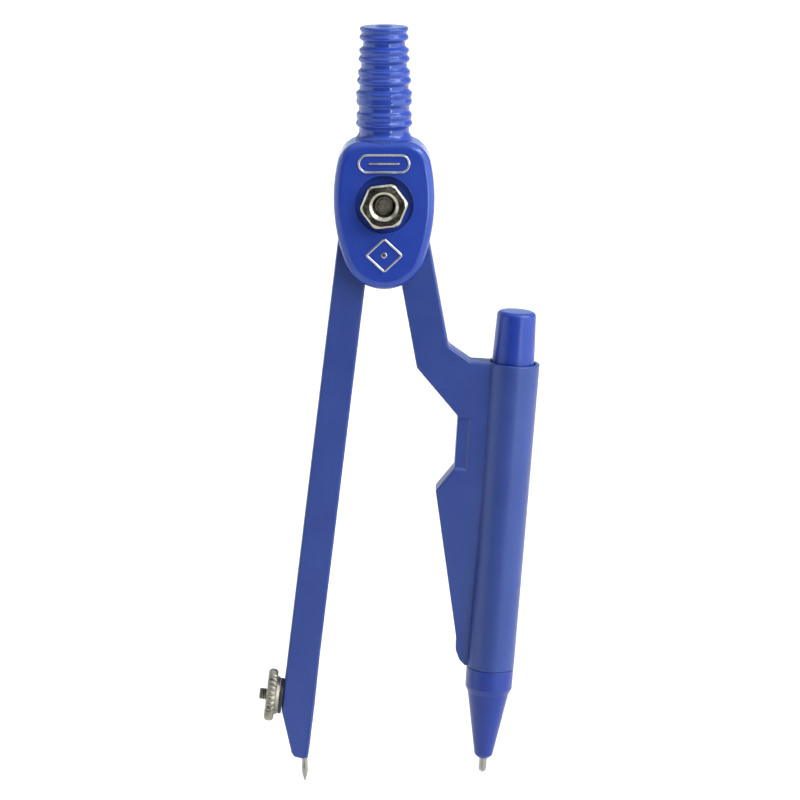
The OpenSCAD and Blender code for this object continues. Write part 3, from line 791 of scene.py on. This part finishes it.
def make_clamp_bolt():
    """The bolt that pinches the needle: a thread from a flush head, with the needle's hole across it."""
    stem_end = LEG_OUT + COLLAR_T + HUB_T + THUMB_T + BOLT_SHOWS + 2 * SEAT
    made = thread_bar("clamp_bolt", BOLT_R, 0.14, 0.4, 4.0, stem_end, 36, 12, lead_in=0.3)
    low, high = 1.3, 4.27
    head = softened([(0, low), (BOLT_HEAD_R, low, 0.25), (BOLT_HEAD_R, high, 0.1), (0, high)], closed=False)
    join(made, lathe("bolt_head", head, 48))
    turned(made, clamp_frame(0))
    eye = lathe("eye", [(0, 5), (NEEDLE_BORE_R, 5), (NEEDLE_BORE_R, 27), (0, 27)], 32)
    cut(made, turned(eye, along_needle(NEEDLE_TIP)))
    finish_shape(made, 40)
    place(made, NEEDLE_LEG, "needle_leg", "screw", "screw_steel", "needle_clamp_bolt")


def make_clamp_washer():
    """The dark washer between the thumb nut and the leg: its near-black colour is painted shade, for the
    shade that falls between the nut and the leg.
    """
    made = lathe("clamp_collar", ring_profile(BOLT_HOLE_R, 3.0, 0, COLLAR_T, 0.15), 64, closed=True)
    turned(made, clamp_frame(LEG_OUT))
    finish_shape(made, 50)
    place(made, NEEDLE_LEG, "needle_leg", "washer", "black_fibre", "needle_clamp_washer")


def make_thumb_nut():
    """V grooves round a crowned rim, with a conical hub towards the leg and a dished face."""
    knurls, outer, depth, per, rows = 28, 4.4, 0.24, 8, 14
    crown_deg, crown_drop, narrow, least_depth = 80, 0.62, 3.2, 0.3
    bm = bmesh.new()
    rings = []
    for k in range(rows + 1):
        across = math.radians(-crown_deg + 2 * crown_deg * k / rows)
        z = HUB_T + THUMB_T / 2 + THUMB_T / 2 * math.sin(across) / math.sin(math.radians(crown_deg))
        crown = outer - crown_drop * (1 - math.cos(across))
        ring = []
        for i in range(knurls * per):
            groove = max(0.0, 1 - narrow * min(i % per, per - i % per) / per)
            r = crown - depth * groove * max(math.cos(across), least_depth)
            a = 2 * math.pi * i / (knurls * per)
            ring.append(bm.verts.new((r * math.cos(a), r * math.sin(a), z)))
        rings.append(ring)
    bridge(bm, rings)
    bm.faces.new(rings[0])
    bm.faces.new(list(reversed(rings[-1])))
    body = mesh_object("thumb_nut", bm)
    hub_top = HUB_T + 0.15
    hub = softened([(0, 0), (3.05, 0, 0.1), (3.34, hub_top), (0, hub_top)], closed=False)
    join(body, lathe("hub", hub, 72))
    total, dish_depth, bore_r = HUB_T + THUMB_T, 0.3, 1.03
    low, high = total - dish_depth, total + dish_depth
    dish = [(0, low), (2.4, low, 0.3), (3.0, high), (0, high)]
    cut(body, lathe("dish", softened(dish, closed=False), 72))
    cut(body, lathe("bore", [(0, -1), (bore_r, -1), (bore_r, 5), (0, 5)], 40))
    turned(body, clamp_frame(LEG_OUT + COLLAR_T + SEAT))
    finish_shape(body, 38)
    place(body, NEEDLE_LEG, "thumb_nut", "thumb", "thumb_nut_nickel", "needle_clamp_nut")


# ---------------------------------------------------------------- pencil leg

BARREL_TOP = -25.4
BARREL_END = -77.5
BARREL_TOP_R = 4.42
BARREL_END_R = 3.98
BUTTON_BORE_R = 3.75
TUBE_BORE_R = 2.6
SLEEVE_BORE_R = 3.05
SEAM = 0.07  # gap between the barrel and the nose
FIN_START = -46.0
FIN_END_T = 1.8
STRIP_T = 4.3
NOTCH_END = (14.55, -43.4, 0.8)


def pencil_plate_outline():
    """The round eye, the arm, the crank, the web, the notch and the fin, up to the barrel's axis."""
    meets = math.sqrt(EYE_R ** 2 - ARM_OUT ** 2)
    start = swung(ARM_OUT, meets, ARM_LEAN)
    inner = swung(ARM_IN, math.sqrt(EYE_R ** 2 - ARM_IN ** 2), ARM_LEAN)
    first = math.degrees(math.atan2(start[1], start[0]))
    eye = arc((0, 0), EYE_R, first, 360 + math.degrees(math.atan2(inner[1], inner[0])), 72)
    knee_in = swung(ARM_IN, 28, ARM_LEAN)
    knee_out = swung(ARM_OUT, 25.4, ARM_LEAN)
    rest = [(*knee_in, 1.2), (14.5, -34.7, 0.8), NOTCH_END, (11.72, -47.45, 0.5),
            (16.95, -72.7, 5), (17.0, -74.8, 2), (17.75, -76.5, 1.2), (18.7, BARREL_END + 0.1),
            (BARREL_X, BARREL_END + 0.1), (BARREL_X, BARREL_TOP - 0.06), (16.0, BARREL_TOP - 0.06, 0.8),
            (*knee_out, 1.6)]
    return softened(eye + rest, steps=6)


def thin_the_fin(body):
    """Tapers the plate's thickness below the notch, towards the fin's lower end."""
    bm = bmesh.new()
    bm.from_mesh(body.data)
    parts = bm.verts[:] + bm.edges[:] + bm.faces[:]
    bmesh.ops.bisect_plane(bm, geom=parts, plane_co=(0, 0, FIN_START), plane_no=(0, 0, 1))
    for v in bm.verts:
        if v.co.z < FIN_START:
            share = (FIN_START - v.co.z) / (FIN_START - BARREL_END)
            v.co.y *= 1 + share * (FIN_END_T / LEG_T - 1)
    bm.to_mesh(body.data)
    bm.free()


def strip_cutter(side):
    """The shallow recess beside the notch: square above, running out gently to the right and below."""
    above, right, below = -34.9, 16.3, NOTCH_END[1] + 0.1
    face, far = side * STRIP_T / 2, side * (LEG_T / 2 + 1)
    rise = abs(far - face)
    bm = bmesh.new()
    corners = [(10, above), (right, above), (right, below), (10, below)]
    inner = [bm.verts.new((x, face, z)) for x, z in corners]
    wide, low = right + 1.3 * rise, below - 1.6 * rise
    spread = [(10, above), (wide, above), (wide, low), (10, low)]
    outer = [bm.verts.new((x, far, z)) for x, z in spread]
    bridge(bm, [inner, outer])
    bm.faces.new(inner)
    bm.faces.new(list(reversed(outer)))
    return mesh_object("strip", bm)


def make_pencil_leg():
    """The flat frame joined with the barrel, with the barrel's stepped bore and the half-thickness eye."""
    body = plate("pencil_leg_frame", pencil_plate_outline(), -LEG_T / 2, LEG_T / 2, edge=0.38, steps=4)
    for side in (-1, 1):
        cut(body, strip_cutter(side))
    thin_the_fin(body)
    barrel = [(0, BARREL_END), (BARREL_END_R, BARREL_END, 0.12),
              (BARREL_TOP_R, BARREL_TOP, 0.22), (0, BARREL_TOP)]
    join(body, lathe("barrel", softened(barrel, closed=False), 128, offset=(BARREL_X, 0, 0)))
    rim, rim_r, sleeve_top, button_floor = 0.2, BUTTON_BORE_R + 0.2, -50, -37
    bore = [(0, BARREL_END - 1), (SLEEVE_BORE_R, BARREL_END - 1), (SLEEVE_BORE_R, sleeve_top),
            (TUBE_BORE_R, sleeve_top), (TUBE_BORE_R, button_floor), (BUTTON_BORE_R, button_floor),
            (BUTTON_BORE_R, BARREL_TOP - rim), (BUTTON_BORE_R + 0.06, BARREL_TOP - 0.08),
            (rim_r, BARREL_TOP), (rim_r, BARREL_TOP + 1), (0, BARREL_TOP + 1)]
    cut(body, lathe("bore", bore, 120, offset=(BARREL_X, 0, 0)))
    cut(body, half_lap(-LEG_T, LAP_Y))
    cut(body, lathe_along_front("pivot_bore", PIVOT_BORE_R, -LEG_T, LEG_T))
    finish_shape(body, 30)
    place(body, PENCIL_LEG, "pencil_leg", "leg_blue", "blue_plastic", "pencil_leg")


def barrel_lathe(name, profile, body, material, slot, nodes, segments=96, closed=False, sharp=40):
    """A turned piece on the barrel's axis, in its place and dressed."""
    made = lathe(name, profile, segments, closed=closed)
    finish_shape(made, sharp)
    place(made, PENCIL_LEG @ Matrix.Translation((BARREL_X, 0, 0)), body, material, slot, *nodes)


def make_button():
    """The button: a domed cap with a guide collar below, an outer skirt and the tube that grips inside."""
    top, low = BARREL_TOP + 8.65, -33.0
    cap_r, collar_r, skirt_r, tube_r, grip_r = 3.5, 3.7, 2.75, 2.3, 1.75
    roof, grip_roof = top - 2.2, top - 3.08
    profile = [(0, top - 0.02), (3.2, top - 0.1, 0.75), (cap_r, BARREL_TOP, 3), (cap_r, low + 2.2),
               (collar_r, low + 2.0, 0.1), (collar_r, low, 0.15), (skirt_r, low, 0.1), (skirt_r, roof),
               (tube_r, roof), (tube_r, low, 0.1), (grip_r, low, 0.1), (grip_r, grip_roof), (0, grip_roof)]
    barrel_lathe("push_button_cap", softened(profile, closed=False), "button_cap", "blue_cap",
                 "button_plastic", ["push_button"])


def make_nose():
    """The nose cone: a spigot inside the barrel, the seam, the cone, and the stepped bore back up."""
    spigot, seam, end = -72.52, BARREL_END - SEAM, -93.4
    outside = [(2.35, spigot), (3.0, spigot, 0.2), (3.0, BARREL_END + 0.4), (2.9, seam), (3.95, seam, 0.12),
               (3.92, -80.9, 0.3), (3.42, -82.0, 0.6), (1.52, -92.85, 0.5), (0.9, end, 0.3)]
    inside = [(0.67, end), (0.67, -88.5), (1.3, -88.5), (1.3, -84.5), (2.35, -82.0)]
    profile = outside + inside
    barrel_lathe("nose", softened(profile), "nose", "blue_plain", "nose_plastic", ["nose_cone"],
                 closed=True, sharp=42)


def make_tip():
    """The thin metal sleeve in the nose, and the lead through it."""
    bore_r, sleeve_r, low, high = 0.38, 0.65, -95.75, -88.52
    profile = [(bore_r, low), (0.48, low, 0.06), (sleeve_r, -95.35, 0.25), (sleeve_r, high), (bore_r, high)]
    barrel_lathe("tip_tube", softened(profile), "nose", "steel", "needle_steel", ["tip_sleeve"], 48, True)
    end, lead_r, length = -95.95, 0.35, 56
    lead = [(0, end), (0.14, end + 0.01, 0.05), (lead_r, end + 0.25, 0.1), (lead_r, end + length),
            (0, end + length)]
    barrel_lathe("lead_stick", softened(lead, closed=False), "lead", "graphite", "graphite", ["lead"], 32)


def make_spring():
    """The clutch spring as an even coil of round wire."""
    radius, wire, turns, per, sides = 1.75, 0.2, 9, 28, 10
    low, high = -70.5 + wire, -58.5 - wire
    bm = bmesh.new()
    rings = []
    count = turns * per
    for i in range(count + 1):
        share = i / count
        a = 2 * math.pi * turns * share
        z = low + (high - low) * share
        ring = []
        for k in range(sides):
            b = 2 * math.pi * k / sides
            reach = radius + wire * math.cos(b)
            ring.append(bm.verts.new((reach * math.cos(a), reach * math.sin(a), z + wire * math.sin(b))))
        rings.append(ring)
    bridge(bm, rings)
    bm.faces.new(rings[0])
    bm.faces.new(list(reversed(rings[-1])))
    made = mesh_object("spring_coil", bm)
    finish_shape(made, 60)
    made.data.materials.clear()
    made.data.materials.append(look["spring"])
    made.matrix_world = in_barrel = PENCIL_LEG @ Matrix.Translation((BARREL_X, 0, 0))
    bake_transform(made)
    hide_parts("clutch_spring")


INNER_LOOKS = {
    "friction_washer": "cad_rubber",
    "lead_tube": "cad_tube",
    "chuck": "cad_brass",
    "mechanism_sleeve": "cad_tube",
    "clutch_ring": "cad_brass",
    "lead_retainer": "cad_rubber",
}


def dress_inner_nodes():
    """CAD pieces whose shape is right keep it and get their materials."""
    for name, material in INNER_LOOKS.items():
        node = frame["nodes"][name]
        for slot in node.material_slots:
            slot.material = look[material]


# ---------------------------------------------------------------- stage, light and camera

CAMERA_TARGET = (2.58, 0, -33.3)  # from the pivot, in millimetres
CAMERA_LENS = 163.35
FLOOR_Z = -0.30
WHITE_BELOW, GREY_ABOVE = 0.16, 0.42  # heights in the sky, from 0 at the horizon to 1 overhead
WHITE, GREY = 1.15, 0.5  # the sky's strengths
SUN_DOWN = (-1.0, 0.62, -1.05)
DAYLIGHT = (0.84, 0.92, 1.0)
SKY = (0.62, 0.78, 1.0)


def make_camera():
    """The camera looks from the front, a little above, with a long lens."""
    target = Vector(CAMERA_TARGET) * MM + PIVOT
    elevation, distance = math.radians(11.5), 0.6
    back = Vector((0, -math.cos(elevation), math.sin(elevation)))
    camera = bpy.data.objects.new("camera", bpy.data.cameras.new("camera"))
    camera.data.sensor_width = 36
    camera.data.lens = CAMERA_LENS
    camera.data.clip_start = 0.01
    camera.location = target + back * distance
    camera.rotation_euler = (-back).to_track_quat("-Z", "Y").to_euler()
    bpy.context.scene.collection.objects.link(camera)
    bpy.context.scene.camera = camera


def panel(name, corners, material):
    """A flat sheet in metres."""
    bm = bmesh.new()
    bm.faces.new([bm.verts.new(c) for c in corners])
    made = mesh_object(name, bm)
    made.data.materials.append(material)
    return made


def card(name, corners, strength, tint=(1, 1, 1), flag=False):
    """A flat card that only reflections see. A flag also holds light back from the object."""
    n = Nodes(name + "_light")
    n.set(Roughness=1.0, Specular_IOR_Level=0.0, Emission_Strength=strength, Emission_Color=(*tint, 1))
    n.shader.inputs["Base Color"].default_value = (0, 0, 0, 1)
    made = panel(name, corners, n.material)
    made.visible_camera = False
    made.visible_diffuse = flag
    made.visible_shadow = False


def upright(azimuths, heights, distance):
    """Corners of an upright card between two azimuths, which turn from the front to the right."""
    ends = [Vector((math.sin(a), -math.cos(a), 0)) * distance for a in map(math.radians, azimuths)]
    low, high = (Vector((0, 0, z)) for z in heights)
    return [ends[0] + low, ends[1] + low, ends[1] + high, ends[0] + high]


def make_world():
    """A sky that is white round the horizon, for a white background in every view, and grey above."""
    world = bpy.data.worlds.new("studio")
    world.use_nodes = True
    bpy.context.scene.world = world
    tree = world.node_tree
    where = tree.nodes.new("ShaderNodeTexCoord")
    split = tree.nodes.new("ShaderNodeSeparateXYZ")
    fade = tree.nodes.new("ShaderNodeMapRange")
    fade.interpolation_type = "SMOOTHSTEP"
    limits = {"From Min": WHITE_BELOW, "From Max": GREY_ABOVE, "To Min": WHITE, "To Max": GREY}
    for key, number in limits.items():
        fade.inputs[key].default_value = number
    tree.links.new(where.outputs["Generated"], split.inputs[0])
    tree.links.new(split.outputs["Z"], fade.inputs["Value"])
    back = tree.nodes["Background"]
    back.inputs["Color"].default_value = (1, 1, 1, 1)
    tree.links.new(fade.outputs["Result"], back.inputs["Strength"])


def make_floor():
    """A wide pale floor, well below the object."""
    n = Nodes("pale_floor")
    n.set(Specular_IOR_Level=0.0, Roughness=0.9)
    drift = n.ramp(n.noise(n.place(1.0), 3.0, 2), *SPREAD)
    tone = n.mix(drift, (0.93, 0.93, 0.93), (0.95, 0.95, 0.95))
    half = 7.0
    corners = [(-half, -half, FLOOR_Z), (half, -half, FLOOR_Z), (half, half, FLOOR_Z), (-half, half, FLOOR_Z)]
    panel("floor", corners, n.finish(tone))


def make_sun():
    """A wide soft sun, high up in the front right."""
    sun = bpy.data.lights.new("soft_sun", "SUN")
    sun.energy = 4.0
    sun.angle = math.radians(50)
    made = bpy.data.objects.new("soft_sun", sun)
    made.rotation_euler = Vector(SUN_DOWN).to_track_quat("-Z", "Y").to_euler()
    bpy.context.scene.collection.objects.link(made)


def make_cards():
    """Cards all round for reflections: azimuths in degrees, heights and distance in metres, strength."""
    card("front_flag", upright((-50, 30), (FLOOR_Z, 0.5), 1.3), 0.04, flag=True)
    card("strip", upright((30, 35), (FLOOR_Z, 0.0), 1.2), 13.0)
    card("right_panel", upright((34, 62), (FLOOR_Z, 0.8), 1.25), 2.6, DAYLIGHT)
    card("right_end", upright((61, 100), (FLOOR_Z, 0.8), 1.25), 2.5, DAYLIGHT)
    card("left_panel", upright((-140, -62), (FLOOR_Z, -0.02), 1.4), 2.0, DAYLIGHT)
    card("left_upper", upright((-142, -84), (-0.02, 0.6), 1.4), 2.2, DAYLIGHT)
    for azimuths, strength in (((98, 148), 0.6), ((147, 213), 0.9), ((212, 262), 0.6)):
        card("rear_panel", upright(azimuths, (-0.01, 0.7), 1.45), strength, SKY)
    half, over, front, rear = 0.9, 1.1, -1.0, 0.5
    overhead = [(-half, front, over), (half, front, over), (half, rear, over), (-half, rear, over)]
    card("top_panel", overhead, 1.3, DAYLIGHT)


bpy.context.scene.view_settings.view_transform = "Standard"
make_camera()
make_floor()
make_world()
make_sun()
make_cards()
make_handle()
make_foil()
make_nut()
make_pivot_screw()
make_pivot_washer()
make_needle_leg()
make_needle()
make_clamp_bolt()
make_clamp_washer()
make_thumb_nut()
make_pencil_leg()
make_button()
make_nose()
make_tip()
make_spring()
dress_inner_nodes()
